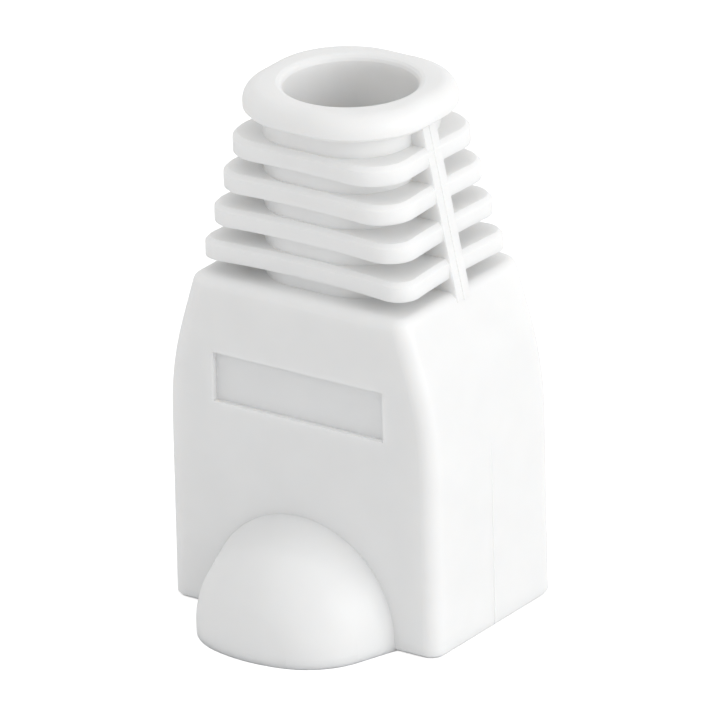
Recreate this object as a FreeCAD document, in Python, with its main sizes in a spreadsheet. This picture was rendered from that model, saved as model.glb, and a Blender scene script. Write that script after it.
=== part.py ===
"""Strain relief boot for an RJ45 patch cable, moulded as one piece.

The boot stands on its mouth. X runs across its width, the latch cover faces -Y and the cable
leaves along +Z. The origin is on the cable's axis, in the plane of the mouth.
"""
import FreeCAD, Part
import math
import os
import Sketcher

DRIVING_DIMENSIONS = [
    ("PlugWidth", 11.7, "the plug that the boot slips over, across"),
    ("PlugDepth", 7.7, "the plug, from the latch side to the back"),
    ("PlugFit", 0.1, "room round the plug, on each side"),
    ("SideWall", 1.05, "wall beside the plug"),
    ("FaceWall", 0.75, "wall in front of the plug and behind it"),
    ("BodyHeight", 15.45, "from the mouth to the deck under the first flange"),
    ("FrontCornerRadius", 0.7, "upright edges on the latch side"),
    ("BackCornerRadius", 1.1, "upright edges on the back"),
    ("DeckEdgeRadius", 0.5, "edge round the deck"),
    ("MouthBevel", 0.15, "outer edge of the mouth"),
    ("SideShoulderStart", 8.6, "height where the narrow sides begin to lean in"),
    ("SideShoulderRadius", 15.0, "bend at the start of each side shoulder"),
    ("SideShoulderLean", 17.3, "degrees that each side shoulder leans in"),
    ("PanelWidth", 8.9, "shallow recess in the latch side"),
    ("PanelBottom", 9.7, "lower edge of the recess"),
    ("PanelTop", 12.0, "upper edge of the recess"),
    ("PanelDepth", 0.28, "depth of the recess"),
    ("DomeHeight", 5.27, "from the mouth to the top of the latch cover"),
    ("DomeRadius", 4.84, "round outline where the latch cover meets the wall"),
    ("DomeReach", 4.3, "how far the latch cover stands out"),
    ("DomeNoseRadius", 7.0, "gentle crown at the front of the latch cover"),
    ("DomeShoulderRadius", 3.4, "bend between the crown and the flank"),
    ("DomeFlankLean", 19.0, "degrees that the flank leans in"),
    ("DomeWall", 0.8, "wall of the latch cover"),
    ("CavityHeight", 12.2, "how far the plug goes in"),
    ("CavityRoofRadius", 0.45, "bend between the cavity's walls and its roof"),
    ("CableBoreRadius", 2.95, "hole for the cable"),
    ("BoreLipRadius", 0.35, "soft edge where the cable leaves"),
    ("NeckOffset", 0.15, "how much nearer the latch side the cable leaves than the plug's middle"),
    ("NeckHalfWidth", 3.5, "half the width of the neck inside the flanges"),
    ("NeckCornerRadius", 2.6, "corners of the neck"),
    ("FlangePitch", 1.64, "from one flange to the next"),
    ("FlangeThickness", 0.86, "thickness of a flange"),
    ("DeckGap", 0.66, "open gap between the deck and the lowest flange"),
    ("FlangeSideInset", 1.54, "lowest flange, in from each side of the housing"),
    ("FlangeFaceInset", 0.62, "lowest flange, shallower than the housing per half"),
    ("FlangeCorner", 0.95, "corner radius of the lowest flange"),
    ("FlangeWidthStep", 0.35, "each flange is narrower than the one below, per half"),
    ("FlangeDepthStep", 0.06, "each flange is shallower than the one below, per half"),
    ("FlangeCornerStep", 0.29, "each flange has rounder corners than the one below"),
    ("FlangeBowRadius", 34.0, "slight inward bow of every flange's sides"),
    ("FlangeBevel", 0.2, "bevelled upper edge of a flange"),
    ("CollarGap", 1.01, "open gap between the last flange and the collar"),
    ("CollarThickness", 1.12, "thickness of the collar on top"),
    ("CollarHalfWidth", 4.45, "collar, half its width"),
    ("CollarHalfDepth", 4.34, "collar, half its depth"),
    ("CollarCorner", 3.7, "corner radius of the collar"),
    ("CollarUpperEdge", 0.75, "soft upper edge of the collar"),
    ("CollarLowerBevel", 0.15, "lower edge of the collar"),
    ("RibWidth", 1.0, "rib on each narrow side, front to back"),
    ("RibInset", 0.05, "rib behind the lowest flange's widest place"),
    ("SeamWidth", 0.12, "parting line of the mould, front to back"),
    ("SeamHeight", 0.05, "how far the parting line stands proud"),
]
FLANGES = 4
OVERSIZE = 4.0
EMBED = 0.4
SEAM_FADE = 4
TOLERANCE = 1e-3
BODY_WIDTH = "(Sizes.PlugWidth + 2 * Sizes.PlugFit + 2 * Sizes.SideWall)"
BODY_DEPTH = "(Sizes.PlugDepth + 2 * Sizes.PlugFit + 2 * Sizes.FaceWall)"
START, END, CENTRE = range(1, 4)
ORIGIN = (-1, 1)
X_AXIS, Y_AXIS = -1, -2

document = FreeCAD.newDocument("StrainReliefBoot")
sizes = document.addObject("Spreadsheet::Sheet", "Sizes")
for row, (alias, number, meaning) in enumerate(DRIVING_DIMENSIONS, start=1):
    sizes.set(f"A{row}", alias)
    sizes.set(f"B{row}", str(number))
    sizes.set(f"C{row}", meaning)
    sizes.setAlias(f"B{row}", alias)
document.recompute()

body = document.addObject("PartDesign::Body", "Boot")
body.Label = "boot"


def value(expression):
    """Work out an expression of the driving dimensions as a number."""
    return float(sizes.evalExpression(expression))


def origin_plane(role):
    """Find one of the body's own origin planes."""
    return next(item for item in body.Origin.OriginFeatures if item.Role == role)


# ---------------------------------------------------------------- sketches


def new_sketch(name, role, offset=None):
    """Start a sketch on an origin plane, moved along its normal by an expression."""
    sketch = body.newObject("Sketcher::SketchObject", name)
    sketch.AttachmentSupport = (origin_plane(role), [""])
    sketch.MapMode = "FlatFace"
    if offset:
        sketch.setExpression("AttachmentOffset.Base.z", offset)
    return sketch


def tie(sketch, kind, *places):
    """Add a constraint that has no size."""
    sketch.addConstraint(Sketcher.Constraint(kind, *places))


def measure(sketch, name, expression, kind, *places):
    """Add a constraint whose size follows an expression of the driving dimensions."""
    number = value(expression)
    unit = "mm"
    if kind == "Angle":
        number = math.radians(number)
        unit = "deg"
    index = sketch.addConstraint(Sketcher.Constraint(kind, *places, number))
    sketch.renameConstraint(index, name)
    sketch.setExpression("Constraints." + name, f"({expression}) * 1 {unit}")


def add_chain(sketch, points):
    """Draw a closed chain of lines through the points, joined end to end."""
    corners = [FreeCAD.Vector(x, y, 0) for x, y in points]
    ends = corners[1:] + corners[:1]
    lines = [sketch.addGeometry(Part.LineSegment(a, b)) for a, b in zip(corners, ends)]
    for line, following in zip(lines, lines[1:] + lines[:1]):
        tie(sketch, "Coincident", line, END, following, START)
    return lines


def centred_rectangle(sketch, width, depth):
    """Draw a rectangle about the sketch's origin."""
    x, y = value(width) / 2, value(depth) / 2
    bottom, right, top, left = add_chain(sketch, [(-x, -y), (x, -y), (x, y), (-x, y)])
    for line in (bottom, top):
        tie(sketch, "Horizontal", line)
    for line in (left, right):
        tie(sketch, "Vertical", line)
    tie(sketch, "Symmetric", bottom, START, top, START, *ORIGIN)
    measure(sketch, "Width", width, "DistanceX", bottom, START, bottom, END)
    measure(sketch, "Depth", depth, "DistanceY", right, START, right, END)


def box_between(sketch, width, low, high):
    """Draw a rectangle centred on the vertical axis, between two heights."""
    x, y0, y1 = value(width) / 2, value(low), value(high)
    bottom, right, top, left = add_chain(sketch, [(-x, y0), (x, y0), (x, y1), (-x, y1)])
    tie(sketch, "Horizontal", top)
    tie(sketch, "Vertical", left)
    tie(sketch, "Vertical", right)
    tie(sketch, "Symmetric", bottom, START, bottom, END, Y_AXIS)
    measure(sketch, "Width", width, "DistanceX", bottom, START, bottom, END)
    measure(sketch, "Low", low, "DistanceY", *ORIGIN, bottom, START)
    measure(sketch, "High", high, "DistanceY", *ORIGIN, top, START)


def bowed_rectangle(sketch, half_width, half_depth, corner):
    """Draw a rounded rectangle whose four sides bow slightly inward.

    Each corner is an arc that is tangent to the two long arcs beside it.
    """
    radius, bow = value(corner), value("Sizes.FlangeBowRadius")
    reach = [value(half_width) - radius, value(half_depth) - radius]
    centres = [(reach[0] * sx, reach[1] * sy) for sx, sy in ((1, 1), (-1, 1), (-1, -1), (1, -1))]
    tilts = [math.asin(length / (bow + radius)) for length in reach]
    corners, sides = [], []
    for index, (x, y) in enumerate(centres):
        quarter = index * math.pi / 2
        before, after = (tilts[1], tilts[0]) if index % 2 == 0 else (tilts[0], tilts[1])
        circle = Part.Circle(FreeCAD.Vector(x, y, 0), FreeCAD.Vector(0, 0, 1), radius)
        arc = Part.ArcOfCircle(circle, quarter - before, quarter + math.pi / 2 + after)
        corners.append(sketch.addGeometry(arc))
        away = (bow + radius) * math.cos(before) + reach[index % 2]
        middle = FreeCAD.Vector(away * math.cos(quarter), away * math.sin(quarter), 0)
        circle = Part.Circle(middle, FreeCAD.Vector(0, 0, 1), bow)
        facing = quarter + math.pi
        sides.append(sketch.addGeometry(Part.ArcOfCircle(circle, facing - before, facing + before)))
    for index in range(4):
        tie(sketch, "Tangent", corners[index], START, sides[index], START)
        tie(sketch, "Tangent", corners[index - 1], END, sides[index], END)
    for index in range(1, 4):
        tie(sketch, "Equal", corners[0], corners[index])
        tie(sketch, "Equal", sides[0], sides[index])
    tie(sketch, "Symmetric", corners[0], CENTRE, corners[1], CENTRE, Y_AXIS)
    tie(sketch, "Symmetric", corners[1], CENTRE, corners[2], CENTRE, X_AXIS)
    tie(sketch, "Symmetric", corners[2], CENTRE, corners[3], CENTRE, Y_AXIS)
    measure(sketch, "Corner", corner, "Radius", corners[0])
    measure(sketch, "Bow", "Sizes.FlangeBowRadius", "Radius", sides[0])
    measure(sketch, "AcrossX", f"{half_width} - {corner}", "DistanceX", *ORIGIN, corners[0], CENTRE)
    measure(sketch, "AcrossY", f"{half_depth} - {corner}", "DistanceY", *ORIGIN, corners[0], CENTRE)


def shoulder_waste(sketch, half, start, radius, lean):
    """Draw the waste outside a wall that bends at a height and then leans in.

    The wall is upright up to the start, turns through an arc and goes on as a straight line.
    """
    x, y, bend, angle = value(half), value(start), value(radius), math.radians(value(lean))
    top = value("Sizes.BodyHeight") + OVERSIZE
    arc_end = (x - bend * (1 - math.cos(angle)), y + bend * math.sin(angle))
    line_end = (arc_end[0] - (top - arc_end[1]) * math.tan(angle), top)
    outside = x + OVERSIZE
    circle = Part.Circle(FreeCAD.Vector(x - bend, y, 0), FreeCAD.Vector(0, 0, 1), bend)
    arc = sketch.addGeometry(Part.ArcOfCircle(circle, 0, angle))
    points = [arc_end, line_end, (outside, top), (outside, y), (x, y)]
    places = [FreeCAD.Vector(a, b, 0) for a, b in points]
    segments = [Part.LineSegment(a, b) for a, b in zip(places, places[1:])]
    slope, roof, far, foot = [sketch.addGeometry(segment) for segment in segments]
    tie(sketch, "Tangent", arc, END, slope, START)
    tie(sketch, "Coincident", slope, END, roof, START)
    tie(sketch, "Coincident", roof, END, far, START)
    tie(sketch, "Coincident", far, END, foot, START)
    tie(sketch, "Coincident", foot, END, arc, START)
    tie(sketch, "Horizontal", roof)
    tie(sketch, "Vertical", far)
    tie(sketch, "Horizontal", foot)
    tie(sketch, "Horizontal", arc, CENTRE, arc, START)
    measure(sketch, "Half", half, "DistanceX", *ORIGIN, arc, START)
    measure(sketch, "Start", start, "DistanceY", *ORIGIN, arc, START)
    measure(sketch, "Bend", radius, "Radius", arc)
    measure(sketch, "Lean", f"90 + {lean}", "Angle", slope)
    measure(sketch, "Top", f"Sizes.BodyHeight + {OVERSIZE}", "DistanceY", *ORIGIN, roof, START)
    measure(sketch, "Outside", f"{half} + {OVERSIZE}", "DistanceX", *ORIGIN, far, START)


def dome_profile(sketch, inset, back):
    """Draw half of the latch cover's plan: a crown, a bend and a straight flank.

    The vertical axis is the middle of the cover. The inset moves the whole curve inward, and
    the back is how far behind the front wall's face the profile goes.
    """
    face = -value(BODY_DEPTH) / 2
    wall = value(inset)
    nose, bend = value("Sizes.DomeNoseRadius") - wall, value("Sizes.DomeShoulderRadius") - wall
    lean = math.radians(value("Sizes.DomeFlankLean"))
    foot = value("Sizes.DomeRadius") - wall / math.cos(lean)
    tip = face - value("Sizes.DomeReach") + wall
    nose_centre = FreeCAD.Vector(0, tip + nose, 0)
    outward = FreeCAD.Vector(math.cos(lean), -math.sin(lean), 0)
    gap = outward.dot(FreeCAD.Vector(foot, face, 0) - nose_centre) - bend
    end_turn = -lean
    start_turn = end_turn - math.acos(gap / (nose - bend))
    toward = FreeCAD.Vector(math.cos(start_turn), math.sin(start_turn), 0)
    bend_centre = nose_centre + toward * (nose - bend)
    flank_start = bend_centre + outward * bend
    rear = face + value(back)
    flank_end = FreeCAD.Vector(foot + value(back) * math.tan(lean), rear, 0)
    up = FreeCAD.Vector(0, 0, 1)
    crown_circle = Part.Circle(nose_centre, up, nose)
    crown = sketch.addGeometry(Part.ArcOfCircle(crown_circle, -math.pi / 2, start_turn))
    bend_circle = Part.Circle(bend_centre, up, bend)
    turn = sketch.addGeometry(Part.ArcOfCircle(bend_circle, start_turn, end_turn))
    places = [flank_start, flank_end, FreeCAD.Vector(0, rear, 0), FreeCAD.Vector(0, tip, 0)]
    segments = [Part.LineSegment(a, b) for a, b in zip(places, places[1:])]
    flank, rear_line, axis_line = [sketch.addGeometry(segment) for segment in segments]
    tie(sketch, "Tangent", crown, END, turn, START)
    tie(sketch, "Tangent", turn, END, flank, START)
    tie(sketch, "Coincident", flank, END, rear_line, START)
    tie(sketch, "Coincident", rear_line, END, axis_line, START)
    tie(sketch, "Coincident", axis_line, END, crown, START)
    tie(sketch, "Horizontal", rear_line)
    tie(sketch, "PointOnObject", crown, CENTRE, Y_AXIS)
    tie(sketch, "PointOnObject", axis_line, START, Y_AXIS)
    tie(sketch, "PointOnObject", axis_line, END, Y_AXIS)
    measure(sketch, "Crown", f"Sizes.DomeNoseRadius - {inset}", "Radius", crown)
    measure(sketch, "Bend", f"Sizes.DomeShoulderRadius - {inset}", "Radius", turn)
    measure(sketch, "Lean", "90 - Sizes.DomeFlankLean", "Angle", flank)
    reach = f"{BODY_DEPTH} / 2 + Sizes.DomeReach - {inset}"
    measure(sketch, "Reach", reach, "DistanceY", axis_line, END, *ORIGIN)
    measure(sketch, "Rear", f"{BODY_DEPTH} / 2 - ({back})", "DistanceY", axis_line, START, *ORIGIN)
    slant = f"({back}) * tan(Sizes.DomeFlankLean * 1 deg)"
    narrowing = f"({inset}) / cos(Sizes.DomeFlankLean * 1 deg)"
    width = f"Sizes.DomeRadius - {narrowing} + {slant}"
    measure(sketch, "Foot", width, "DistanceX", *ORIGIN, flank, END)


# ---------------------------------------------------------------- features


def volume():
    """Measure the body as it stands."""
    return body.Tip.Shape.Volume if body.Tip else 0.0


def finish(feature, before, sign):
    """Recompute, and check that the feature changed the volume the way it should."""
    document.recompute()
    change = feature.Shape.Volume - before
    if change * sign <= 0:
        raise RuntimeError(f"{feature.Name} changed the volume by {change:.4f}")
    return feature


def pad(name, sketch, length, symmetric=False):
    """Add a sketch's outline, thick by an expression along the sketch's normal."""
    before = volume()
    feature = body.newObject("PartDesign::Pad", name)
    feature.Profile = sketch
    feature.SideType = "Symmetric" if symmetric else "One side"
    feature.setExpression("Length", length)
    return finish(feature, before, 1)


def pocket(name, sketch, length, symmetric=False, along_normal=False):
    """Cut a sketch's outline, against the sketch's normal unless it says otherwise."""
    before = volume()
    feature = body.newObject("PartDesign::Pocket", name)
    feature.Profile = sketch
    feature.SideType = "Symmetric" if symmetric else "One side"
    feature.Reversed = along_normal
    feature.setExpression("Length", length)
    return finish(feature, before, -1)


def turned(kind, name, sketch, sign):
    """Revolve or groove a sketch a full turn about its vertical axis."""
    before = volume()
    feature = body.newObject(kind, name)
    feature.Profile = sketch
    feature.ReferenceAxis = (sketch, ["V_Axis"])
    feature.Angle = 360
    return finish(feature, before, sign)


def edges_where(test):
    """Name the edges of the body as it stands that pass a test of their bounding box."""
    edges = enumerate(body.Tip.Shape.Edges, start=1)
    return [f"Edge{index}" for index, edge in edges if test(edge.BoundBox)]


def dress(kind, name, edges, size_property, size):
    """Fillet or chamfer edges by an expression."""
    base, before = body.Tip, volume()
    feature = body.newObject(kind, name)
    feature.Base = (base, edges)
    feature.setExpression(size_property, size)
    document.recompute()
    if not edges or abs(feature.Shape.Volume - before) < TOLERANCE:
        raise RuntimeError(f"{name} changed nothing")
    return feature


def fillet(name, edges, radius):
    """Round edges by an expression."""
    return dress("PartDesign::Fillet", name, edges, "Radius", radius)


def chamfer(name, edges, size):
    """Bevel edges by an expression."""
    return dress("PartDesign::Chamfer", name, edges, "Size", size)


def soften(name, height, radius, chosen):
    """Round the upper rim of a hole with three flats that touch the true curve."""
    first, second = f"{radius} * (2 - sqrt(2))", f"{radius} * (tan(22.5 deg) - tan(11.25 deg))"
    top, below = value(height), value(f"{height} - {first}")
    for suffix, at, size in (("Flat", top, first), ("UpperFlat", top, second), ("LowerFlat", below, second)):
        chamfer(name + suffix, edges_where(lambda box: level(box, at) and chosen(box)), size)


def level(box, height):
    """Tell whether an edge lies flat at a height."""
    return abs(box.ZMin - height) < TOLERANCE and abs(box.ZMax - height) < TOLERANCE


def reaches_beyond(box, half_width, half_depth):
    """Tell whether the middle of an edge is outside a rectangle round the cable's axis."""
    aside = abs(box.Center.y + value("Sizes.NeckOffset"))
    return abs(box.Center.x) > half_width or aside > half_depth


# ---------------------------------------------------------------- plug housing


def build_housing():
    """Make the block that covers the plug, with leaning shoulders and soft edges."""
    outline = new_sketch("HousingOutline", "XY_Plane")
    centred_rectangle(outline, BODY_WIDTH, BODY_DEPTH)
    pad("Housing", outline, "Sizes.BodyHeight")

    side = new_sketch("SideShoulder", "XZ_Plane")
    shoulder_waste(side, f"{BODY_WIDTH} / 2", "Sizes.SideShoulderStart",
                   "Sizes.SideShoulderRadius", "Sizes.SideShoulderLean")
    cut = pocket("SideShoulderCut", side, f"{BODY_DEPTH} * 2", symmetric=True)
    before = volume()
    mirror = body.newObject("PartDesign::Mirrored", "OtherSideShoulder")
    mirror.Originals = [cut]
    mirror.MirrorPlane = (origin_plane("YZ_Plane"), [""])
    body.Tip = mirror
    finish(mirror, before, -1)

    for name, side_sign in (("Front", -1), ("Back", 1)):
        upright = edges_where(lambda box: box.ZLength > TOLERANCE and box.Center.y * side_sign > 0)
        fillet(name + "Corners", upright, f"Sizes.{name}CornerRadius")
    deck = value("Sizes.BodyHeight")
    fillet("DeckEdge", edges_where(lambda box: level(box, deck)), "Sizes.DeckEdgeRadius")
    chamfer("MouthEdge", edges_where(lambda box: level(box, 0)), "Sizes.MouthBevel")


def build_panel():
    """Sink the shallow rectangle into the latch side."""
    outline = new_sketch("PanelOutline", "XZ_Plane", f"{BODY_DEPTH} / 2")
    box_between(outline, "Sizes.PanelWidth", "Sizes.PanelBottom", "Sizes.PanelTop")
    pocket("Panel", outline, "Sizes.PanelDepth")


def build_dome():
    """Blow the latch cover out of the wall, and trim it level with the mouth."""
    profile = new_sketch("DomeProfile", "XY_Plane", "Sizes.DomeHeight - Sizes.DomeRadius")
    dome_profile(profile, "0", "Sizes.DomeWall / 2")
    turned("PartDesign::Revolution", "Dome", profile, 1)
    below = new_sketch("BelowTheMouth", "XY_Plane")
    centred_rectangle(below, f"{BODY_WIDTH} * 2", f"{BODY_DEPTH} * 4")
    pocket("MouthTrim", below, "Sizes.DomeRadius * 2")


# ---------------------------------------------------------------- neck, flanges and collar


def flange_floor(index):
    """Give the height of a flange's lower face."""
    return f"(Sizes.BodyHeight + Sizes.DeckGap + {index} * Sizes.FlangePitch)"


COLLAR_FLOOR = f"({flange_floor(FLANGES - 1)} + Sizes.FlangeThickness + Sizes.CollarGap)"
COLLAR_TOP = f"({COLLAR_FLOOR} + Sizes.CollarThickness)"


def neck_sketch(name, height):
    """Start a level sketch whose origin is on the cable's axis."""
    sketch = new_sketch(name, "XY_Plane", height)
    sketch.setExpression("AttachmentOffset.Base.y", "-Sizes.NeckOffset")
    return sketch


def build_plate(name, floor, thickness, half_width, half_depth, corner):
    """Add a plate round the neck."""
    outline = neck_sketch(name + "Outline", floor)
    bowed_rectangle(outline, half_width, half_depth, corner)
    pad(name, outline, thickness)


def beyond_neck(box):
    """Tell whether an edge is on the rim of a plate, and not where it meets the neck."""
    neck = value("Sizes.NeckHalfWidth") + TOLERANCE
    return reaches_beyond(box, neck, neck)


def build_neck():
    """Add the neck, its flanges and the collar on top."""
    start = f"(Sizes.BodyHeight - {EMBED})"
    outline = neck_sketch("NeckOutline", start)
    bowed_rectangle(outline, "Sizes.NeckHalfWidth", "Sizes.NeckHalfWidth", "Sizes.NeckCornerRadius")
    pad("Neck", outline, f"{COLLAR_FLOOR} + {EMBED} - {start}")
    for index in range(FLANGES):
        name, floor = f"Flange{index + 1}", flange_floor(index)
        half_width = f"({BODY_WIDTH} / 2 - Sizes.FlangeSideInset - {index} * Sizes.FlangeWidthStep)"
        half_depth = f"({BODY_DEPTH} / 2 - Sizes.FlangeFaceInset - {index} * Sizes.FlangeDepthStep)"
        corner = f"(Sizes.FlangeCorner + {index} * Sizes.FlangeCornerStep)"
        build_plate(name, floor, "Sizes.FlangeThickness", half_width, half_depth, corner)
        top = value(f"{floor} + Sizes.FlangeThickness")
        rim = edges_where(lambda box: level(box, top) and beyond_neck(box))
        chamfer(name + "Edge", rim, "Sizes.FlangeBevel")
    build_plate("Collar", COLLAR_FLOOR, "Sizes.CollarThickness", "Sizes.CollarHalfWidth",
                "Sizes.CollarHalfDepth", "Sizes.CollarCorner")
    top, floor = value(COLLAR_TOP), value(COLLAR_FLOOR)
    fillet("CollarUpperEdge", edges_where(lambda box: level(box, top)), "Sizes.CollarUpperEdge")
    under = edges_where(lambda box: level(box, floor) and beyond_neck(box))
    chamfer("CollarLowerEdge", under, "Sizes.CollarLowerBevel")


def side_band(name, beside, width, low, low_half, high, high_half):
    """Add a band down both narrow sides, as a thin slice that tapers between two heights.

    The slice stands upright, and beside is how far it is from the plug's middle.
    """
    sketch = new_sketch(name + "Outline", "XZ_Plane", beside)
    (x0, z0), (x1, z1) = (value(low_half), value(low)), (value(high_half), value(high))
    bottom, right, top, left = add_chain(sketch, [(-x0, z0), (x0, z0), (x1, z1), (-x1, z1)])
    tie(sketch, "Symmetric", bottom, START, bottom, END, Y_AXIS)
    tie(sketch, "Symmetric", top, START, top, END, Y_AXIS)
    measure(sketch, "Low", low, "DistanceY", *ORIGIN, bottom, END)
    measure(sketch, "High", high, "DistanceY", *ORIGIN, top, START)
    measure(sketch, "LowHalf", low_half, "DistanceX", *ORIGIN, bottom, END)
    measure(sketch, "HighHalf", high_half, "DistanceX", *ORIGIN, top, START)
    pad(name, sketch, width, symmetric=True)


def build_ribs():
    """Add the ribs that tie the flanges together, with the parting line along them."""
    low, high = f"(Sizes.BodyHeight - {EMBED})", f"({COLLAR_FLOOR} + Sizes.CollarLowerBevel)"
    middle = f"({flange_floor(0)} + Sizes.FlangeThickness / 2)"
    for name, width, proud in (("Ribs", "Sizes.RibWidth", "0"),
                               ("RibSeams", "Sizes.SeamWidth", "Sizes.SeamHeight")):
        base = f"{BODY_WIDTH} / 2 - Sizes.FlangeSideInset - Sizes.RibInset + {proud}"
        slope = "Sizes.FlangeWidthStep / Sizes.FlangePitch"
        side_band(name, "Sizes.NeckOffset", width, low, f"{base} + ({middle} - {low}) * {slope}",
                  high, f"{base} + ({middle} - {high}) * {slope}")


def build_housing_seam():
    """Carry the parting line down the housing's narrow sides, fading out at the shoulders."""
    half = f"{BODY_WIDTH} / 2"
    side_band("HousingSeam", "Sizes.NeckOffset", "Sizes.SeamWidth",
              "Sizes.MouthBevel", f"{half} + Sizes.SeamHeight",
              "Sizes.SideShoulderStart", f"{half} + Sizes.SeamHeight / {SEAM_FADE}")


# ---------------------------------------------------------------- openings


def build_cavity():
    """Hollow out the room for the plug, and open the latch cover into it."""
    outline = new_sketch("CavityOutline", "XY_Plane")
    centred_rectangle(outline, f"{BODY_WIDTH} - 2 * Sizes.SideWall", f"{BODY_DEPTH} - 2 * Sizes.FaceWall")
    pocket("Cavity", outline, "Sizes.CavityHeight", along_normal=True)
    roof = value("Sizes.CavityHeight")
    fillet("CavityRoof", edges_where(lambda box: level(box, roof)), "Sizes.CavityRoofRadius")
    profile = new_sketch("LatchPocketProfile", "XY_Plane", "Sizes.DomeHeight - Sizes.DomeRadius")
    dome_profile(profile, "Sizes.DomeWall", "Sizes.FaceWall + Sizes.DomeWall / 2")
    turned("PartDesign::Groove", "LatchPocket", profile, -1)


def encircles(box):
    """Tell whether an edge runs round the cable's axis."""
    return not reaches_beyond(box, TOLERANCE, TOLERANCE)


def build_bore():
    """Drill the way out for the cable, with a soft lip above."""
    outline = neck_sketch("BoreOutline", COLLAR_TOP)
    circle = Part.Circle(FreeCAD.Vector(0, 0, 0), FreeCAD.Vector(0, 0, 1), value("Sizes.CableBoreRadius"))
    ring = outline.addGeometry(circle)
    tie(outline, "Coincident", ring, CENTRE, *ORIGIN)
    measure(outline, "Radius", "Sizes.CableBoreRadius", "Radius", ring)
    pocket("CableBore", outline, f"{COLLAR_TOP} - Sizes.CavityHeight / 2")
    soften("BoreLip", COLLAR_TOP, "Sizes.BoreLipRadius", encircles)


build_housing()
build_panel()
build_dome()
build_neck()
build_ribs()
build_housing_seam()
build_cavity()
build_bore()

failed = [item.Name for item in document.Objects if {"Invalid", "Error"} & set(item.State)]
if failed:
    raise RuntimeError("failed objects: " + ", ".join(failed))
shape = body.Shape
if shape.isNull() or not shape.isValid() or len(shape.Solids) != 1:
    raise RuntimeError("the boot is not one valid solid")

os.makedirs("parts", exist_ok=True)
shape.exportStep("parts/boot.step")
print(f"boot: {shape.Volume:.1f} mm3, {len(shape.Faces)} faces")
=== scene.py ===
import math

import bmesh
import bpy
from mathutils import Matrix, Vector


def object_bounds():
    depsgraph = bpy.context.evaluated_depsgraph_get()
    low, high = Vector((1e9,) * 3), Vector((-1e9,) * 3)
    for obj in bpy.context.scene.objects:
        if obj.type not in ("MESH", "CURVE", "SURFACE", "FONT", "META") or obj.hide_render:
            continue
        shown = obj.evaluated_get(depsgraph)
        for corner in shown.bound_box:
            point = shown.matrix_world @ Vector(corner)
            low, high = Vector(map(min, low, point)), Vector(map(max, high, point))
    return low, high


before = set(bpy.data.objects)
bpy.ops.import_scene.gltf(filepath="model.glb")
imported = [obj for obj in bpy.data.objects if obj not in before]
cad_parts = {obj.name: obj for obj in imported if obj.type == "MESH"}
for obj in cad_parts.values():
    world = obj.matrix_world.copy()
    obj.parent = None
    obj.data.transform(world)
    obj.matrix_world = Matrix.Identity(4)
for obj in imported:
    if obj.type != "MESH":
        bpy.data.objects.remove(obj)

MM = 0.001
CAD_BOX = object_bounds()

# Camera: a long lens in front of the latch side, turned towards the right-hand narrow side.
TURN = math.radians(35.11)
LIFT = math.radians(22.58)
ROLL = math.radians(-1.38)
DISTANCE = 600 * MM
LENS = 693.2
SENSOR = 36.0
AIM_HEIGHT = 13.0 * MM
AIM_FORWARD = 0.15 * MM
AIM_ASIDE = 0.17 * MM
AIM_BELOW = 1.87 * MM
NEAREST = 10 * MM
FARTHEST = 10.0

# Table and light: the table's glow is seen by the camera alone and lights nothing.
FLOOR_RADIUS = 1.5
FLOOR_SIDES = 96
FLOOR_GREY = 0.84
FLOOR_GLOW = 0.5
SKY = 0.86
KEY_WATTS = 1.08
KEY_PLACE = (0.52, 0.055, 0.19)
KEY_SIZE = 0.3

# Moulded PVC: how fine each pattern is, in waves a metre, how far and how strongly each bump
# rises, how rough the skin is, and how far light wanders under it.
GRAIN_SCALE = 5200.0
SWELL_SCALE = 260.0
CLOUD_SCALE = 420.0
GRAIN_HEIGHT = 0.01 * MM
SWELL_HEIGHT = 0.05 * MM
GRAIN_STRENGTH = 0.12
SWELL_STRENGTH = 0.35
LEAST_ROUGHNESS = 0.4
ROUGHNESS_RANGE = 0.12
DARKER_WHITE = (0.81, 0.812, 0.81, 1)
LIGHTER_WHITE = (0.83, 0.832, 0.829, 1)
LIGHT_REACH = 0.9 * MM


class Value:
    """A shader socket that takes part in Python expressions by adding Math nodes."""

    def __init__(self, shader, socket):
        self.shader = shader
        self.socket = socket

    def _math(self, operation, *inputs):
        return self.shader.node("ShaderNodeMath", {"operation": operation}, dict(enumerate(inputs)))

    def __add__(self, other):
        return self._math("ADD", self, other)

    __radd__ = __add__

    def __mul__(self, other):
        return self._math("MULTIPLY", self, other)

    __rmul__ = __mul__


class Shader:
    """One material and its nodes."""

    def __init__(self, name):
        self.material = bpy.data.materials.new(name)
        self.material.use_nodes = True
        self.tree = self.material.node_tree
        self.surface = self.tree.nodes["Principled BSDF"]

    def node(self, kind, settings=None, inputs=None, output=0):
        """Add a node with its settings, its sockets' values or links, and return one output."""
        made = self.tree.nodes.new(kind)
        for name, setting in (settings or {}).items():
            if name == "stops":
                self.set_stops(made.color_ramp, setting)
            else:
                setattr(made, name, setting)
        for name, given in (inputs or {}).items():
            self.feed(made.inputs[name], given)
        return Value(self, made.outputs[output])

    def feed(self, socket, given):
        """Link a value to a socket, or set the socket's own number."""
        if isinstance(given, Value):
            self.tree.links.new(given.socket, socket)
        else:
            socket.default_value = given

    @staticmethod
    def set_stops(ramp, stops):
        """Give a ramp its positions and greys."""
        while len(ramp.elements) < len(stops):
            ramp.elements.new(1.0)
        for element, (position, color) in zip(ramp.elements, stops):
            element.position = position
            element.color = color

    def finish(self, **inputs):
        """Feed the surface's sockets, named with underscores for spaces."""
        for name, given in inputs.items():
            self.feed(self.surface.inputs[name.replace("_", " ")], given)
        return self.material


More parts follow.
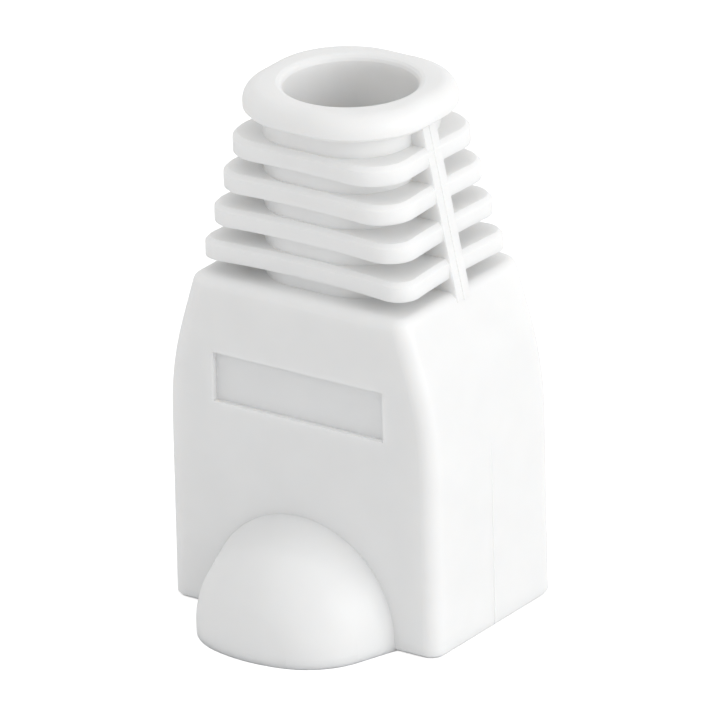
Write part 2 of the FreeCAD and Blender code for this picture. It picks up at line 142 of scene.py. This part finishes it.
def moulded_pvc():
    """Soft white PVC straight from the mould: satin, faintly uneven and a little translucent."""
    shader = Shader("moulded_pvc")
    place = shader.node("ShaderNodeTexCoord", output="Object")
    grain = shader.node("ShaderNodeTexNoise", {}, {"Vector": place, "Scale": GRAIN_SCALE, "Detail": 3.0})
    swell = shader.node("ShaderNodeTexNoise", {}, {"Vector": place, "Scale": SWELL_SCALE, "Detail": 1.0})
    cloud = shader.node("ShaderNodeTexNoise", {}, {"Vector": place, "Scale": CLOUD_SCALE, "Detail": 2.0})
    tone = shader.node("ShaderNodeValToRGB", {"stops": [(0.3, DARKER_WHITE), (0.7, LIGHTER_WHITE)]},
                       {"Fac": cloud})
    wave = shader.node("ShaderNodeBump", {}, {"Strength": SWELL_STRENGTH, "Distance": SWELL_HEIGHT,
                                              "Height": swell})
    skin = shader.node("ShaderNodeBump", {}, {"Strength": GRAIN_STRENGTH, "Distance": GRAIN_HEIGHT,
                                              "Height": grain, "Normal": wave})
    return shader.finish(Base_Color=tone, Roughness=LEAST_ROUGHNESS + ROUGHNESS_RANGE * cloud, Normal=skin,
                         Subsurface_Weight=0.8, Subsurface_Radius=(1.0, 0.95, 0.9),
                         Subsurface_Scale=LIGHT_REACH, Specular_IOR_Level=0.4)


def pale_floor():
    """A plain pale table that looks evenly white from the camera, as under studio light."""
    shader = Shader("pale_floor")
    seen = shader.node("ShaderNodeLightPath")
    return shader.finish(Base_Color=(FLOOR_GREY, FLOOR_GREY, FLOOR_GREY, 1), Roughness=0.9,
                         Specular_IOR_Level=0.1, Emission_Color=seen, Emission_Strength=FLOOR_GLOW)


def add_floor():
    """Lay a wide round table level with the foot of the boot."""
    mesh = bpy.data.meshes.new("floor")
    shape = bmesh.new()
    bmesh.ops.create_circle(shape, cap_ends=True, segments=FLOOR_SIDES, radius=FLOOR_RADIUS)
    shape.to_mesh(mesh)
    shape.free()
    floor = bpy.data.objects.new("floor", mesh)
    floor.location.z = CAD_BOX[0][2]
    bpy.context.scene.collection.objects.link(floor)
    mesh.materials.append(pale_floor())


def view_directions():
    """Work out the camera's right, up and backward directions."""
    right = Vector((math.cos(TURN), math.sin(TURN), 0))
    forward = Vector((-math.sin(TURN) * math.cos(LIFT), math.cos(TURN) * math.cos(LIFT), -math.sin(LIFT)))
    up = right.cross(forward)
    rolled_right = right * math.cos(ROLL) + up * math.sin(ROLL)
    rolled_up = up * math.cos(ROLL) - right * math.sin(ROLL)
    return rolled_right, rolled_up, -forward


def add_camera():
    """Place the camera so that the boot fills the frame as a product picture does."""
    right, up, backward = view_directions()
    target = Vector((0, -AIM_FORWARD, AIM_HEIGHT)) + right * AIM_ASIDE - up * AIM_BELOW
    data = bpy.data.cameras.new("camera")
    data.lens = LENS
    data.sensor_width = SENSOR
    data.clip_start = NEAREST
    data.clip_end = FARTHEST
    camera = bpy.data.objects.new("camera", data)
    bpy.context.scene.collection.objects.link(camera)
    turn = Matrix((right, up, backward)).transposed().to_4x4()
    camera.matrix_world = Matrix.Translation(target + backward * DISTANCE) @ turn
    bpy.context.scene.camera = camera


def add_softbox(name, place, size, watts):
    """Hang a square soft light that faces the boot."""
    data = bpy.data.lights.new(name, "AREA")
    data.shape = "SQUARE"
    data.size = size
    data.energy = watts
    lamp = bpy.data.objects.new(name, data)
    lamp.location = place
    aim = Vector((0, 0, AIM_HEIGHT)) - Vector(place)
    lamp.rotation_euler = aim.to_track_quat("-Z", "Y").to_euler()
    bpy.context.scene.collection.objects.link(lamp)


def add_light():
    """Light the boot softly from all round, and more strongly from its right-hand side."""
    world = bpy.data.worlds.new("studio")
    world.use_nodes = True
    world.node_tree.nodes["Background"].inputs["Color"].default_value = (1, 1, 1, 1)
    world.node_tree.nodes["Background"].inputs["Strength"].default_value = SKY
    bpy.context.scene.world = world
    add_softbox("key", KEY_PLACE, KEY_SIZE, KEY_WATTS)


bpy.context.scene.view_settings.view_transform = "Standard"
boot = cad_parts["boot"]
boot.material_slots[0].material = moulded_pvc()
add_floor()
add_camera()
add_light()
